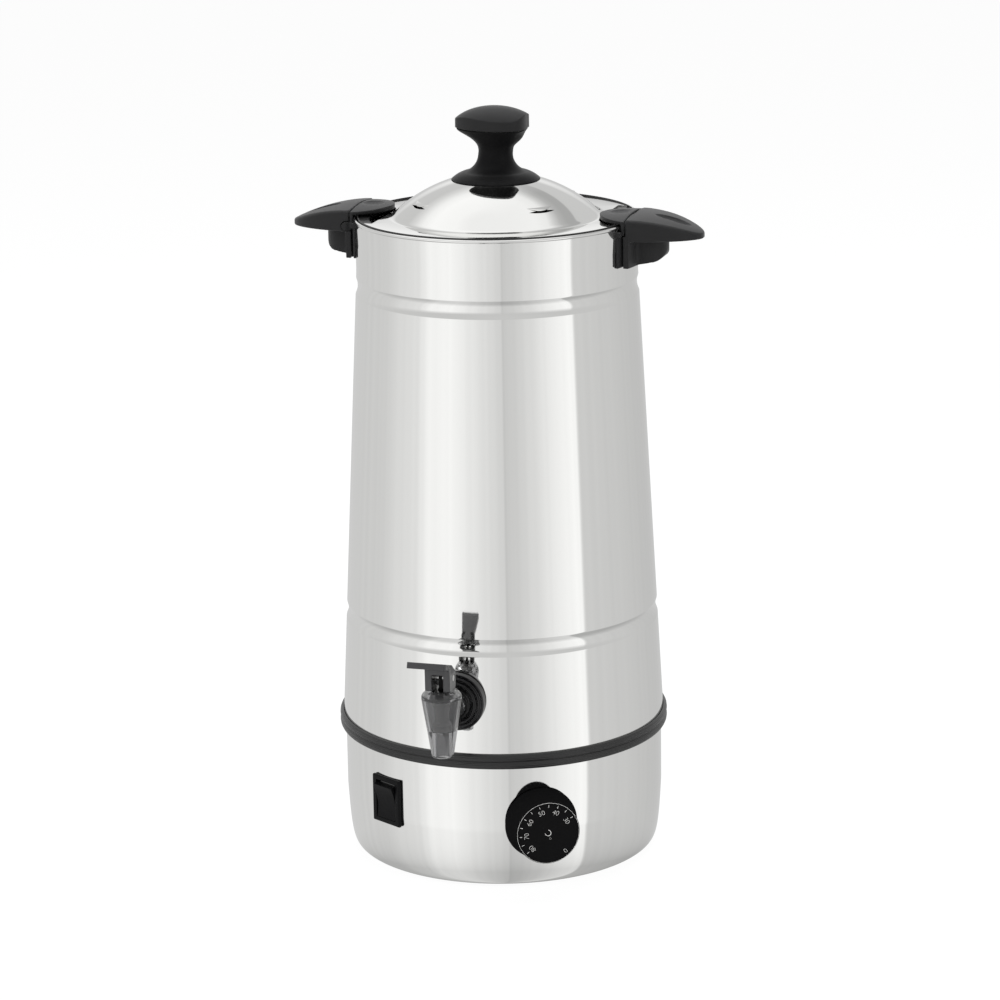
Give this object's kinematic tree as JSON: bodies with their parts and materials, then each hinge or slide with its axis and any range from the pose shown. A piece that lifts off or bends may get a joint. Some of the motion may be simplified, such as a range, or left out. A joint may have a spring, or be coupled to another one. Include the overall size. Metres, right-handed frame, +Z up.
{
  "type": "mulled wine dispenser",
  "caption": "Heated drink dispenser: tall conical steel pot on a round plinth, domed twist-lock lid with knob, side handles, lever tap, thermostat dial and rocker switch.",
  "frame": {"origin": "on the standing plane under the pot's axis", "axes": "+Z up, the tap faces -Y, the handles are on +X and -X"},
  "size_m": [0.2886, 0.2957, 0.5217],
  "materials": {
    "polished_steel": "polished stainless steel sheet",
    "plain_steel": "plain mill finish",
    "zinc_steel": "bright zinc plated",
    "aluminium_plate": "turned",
    "brass_insert": "machined",
    "matt_black_plastic": "finely textured heat-resistant plastic",
    "black_plastic": "moulded, slightly glossy",
    "lever_plastic": "moulded dark grey",
    "smoke_plastic": "smoke-grey, see-through",
    "gasket_rubber": "ribbed",
    "silicone": "soft silicone",
    "inner_plastic": "heat-resistant electrical plastic"
  },
  "bodies": {
    "urn": {"base_plate": "plain_steel", "bulb_clip": "plain_steel", "cable_gland": "black_plastic", "element_clamp": "plain_steel", "feet": "gasket_rubber", "foot_nuts": "zinc_steel", "foot_screws": "zinc_steel", "gland_nut": "black_plastic", "handle_grip_left": "matt_black_plastic", "handle_grip_right": "matt_black_plastic", "handle_inserts": "brass_insert", "handle_nose_left": "matt_black_plastic", "handle_nose_right": "matt_black_plastic", "handle_pad_left": "matt_black_plastic", "handle_pad_right": "matt_black_plastic", "handle_screws": "zinc_steel", "heat_shield": "plain_steel", "heating_element": "plain_steel", "heating_plate": "aluminium_plate", "overheat_cutout": "inner_plastic", "plinth_gasket": "gasket_rubber", "plinth_shell": "polished_steel", "rod_nuts": "zinc_steel", "switch_frame": "black_plastic", "tap_bonnet": "black_plastic", "tap_inner_washer": "silicone", "tap_nut": "black_plastic", "tap_outer_washer": "silicone", "tap_shank": "black_plastic", "tap_spout": "smoke_plastic", "terminal_block": "inner_plastic", "thermostat_body": "inner_plastic", "thermostat_bulb": "plain_steel", "thermostat_capillary": "brass_insert", "thermostat_screws": "zinc_steel", "tie_nut": "zinc_steel", "tie_rod": "zinc_steel", "vessel": "polished_steel"},
    "tap_stem": {"tap_stem": "black_plastic", "lever_pin": "zinc_steel", "seat_cup": "silicone"},
    "tap_lever": {"tap_lever": "lever_plastic"},
    "lid_seal": {"lid_seal": "gasket_rubber"},
    "lid": {"lid_shell": "polished_steel", "lid_knob_base": "matt_black_plastic", "lid_knob_cap": "matt_black_plastic", "lid_knob_screw": "zinc_steel", "lid_knob_washer": "zinc_steel"},
    "dial": {"thermostat_knob": "black_plastic", "thermostat_spindle": "zinc_steel"},
    "rocker": {"switch_rocker": "black_plastic"}
  },
  "joints": [
    {"name": "tap_stem_lift", "type": "slide", "parent": "urn", "child": "tap_stem", "axis": [0, 0, 1], "range_m": [0, 0.0022], "deforming": ["seat_cup"]},
    {"name": "tap_lever_press", "type": "hinge", "parent": "tap_stem", "child": "tap_lever", "pos_m": [0, -0.14658, 0.1634], "axis": [1, 0, 0], "range_deg": [0, 28], "stiffness_Nm_per_rad": 0.25, "springref_deg": -11.46},
    {"name": "lid_turn", "type": "hinge", "parent": "urn", "child": "lid_seal", "pos_m": [0, 0, 0.444], "axis": [0, 0, 1], "continuous": true},
    {"name": "lid_lift", "type": "slide", "parent": "lid_seal", "child": "lid", "axis": [0, 0, 1], "range_m": [0, 0.15]},
    {"name": "thermostat_turn", "type": "hinge", "parent": "urn", "child": "dial", "pos_m": [0, 0, 0.0487], "axis": [0.4802, -0.8771, 0], "range_deg": [-135, 135]},
    {"name": "power_rocker", "type": "hinge", "parent": "urn", "child": "rocker", "pos_m": [-0.05409, -0.0922, 0.0549], "axis": [0.8625, -0.506, 0], "range_deg": [-16, 0]}
  ],
  "couplings": [
    {"joint": "tap_lever_press", "follows": "tap_stem_lift", "rad_per_m": 222}
  ]
}
